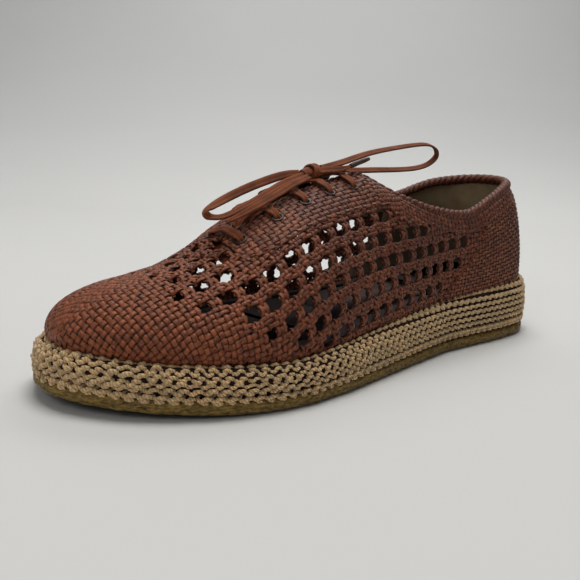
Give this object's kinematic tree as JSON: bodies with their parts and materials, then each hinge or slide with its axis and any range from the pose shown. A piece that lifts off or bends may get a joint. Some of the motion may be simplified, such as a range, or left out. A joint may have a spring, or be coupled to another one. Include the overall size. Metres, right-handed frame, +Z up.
{
  "type": "woven oxford shoe",
  "caption": "Left woven leather oxford shoe with open diamond weave sides, a laced throat, a knitted cord covered wedge midsole and a crepe outsole.",
  "frame": {"origin": "on the floor, under the middle of the shoe's length and width", "axes": "+X to the toe, +Y to the outer side of the foot, +Z up"},
  "size_m": [0.3028, 0.1065, 0.1053],
  "materials": {
    "woven_leather": "satin reddish brown leather strips",
    "cord_cover": "matte beige knitted cord",
    "crepe": "matte olive brown crinkled crepe",
    "lining": "matte tan lining leather",
    "lace_cloth": "matte fine woven flat lace",
    "dark_metal": "gunmetal",
    "dark_tip": "dark hardened lace tip"
  },
  "bodies": {
    "root": {"eyelet_lateral_1": "dark_metal", "eyelet_lateral_2": "dark_metal", "eyelet_lateral_3": "dark_metal", "eyelet_lateral_4": "dark_metal", "eyelet_lateral_5": "dark_metal", "eyelet_medial_1": "dark_metal", "eyelet_medial_2": "dark_metal", "eyelet_medial_3": "dark_metal", "eyelet_medial_4": "dark_metal", "eyelet_medial_5": "dark_metal", "insole": "lining", "lace_aglet_back": "dark_tip", "lace_crossing_1": "lace_cloth", "lace_crossing_2": "lace_cloth", "lace_crossing_3": "lace_cloth", "lace_crossing_4": "lace_cloth", "lace_crossing_5": "lace_cloth", "lace_end_back": "lace_cloth", "lace_end_front": "lace_cloth", "lace_knot": "lace_cloth", "lace_loop_back": "lace_cloth", "lace_loop_front": "lace_cloth", "midsole": "cord_cover", "outsole": "crepe", "tongue": "woven_leather", "upper": "woven_leather"}
  },
  "joints": []
}
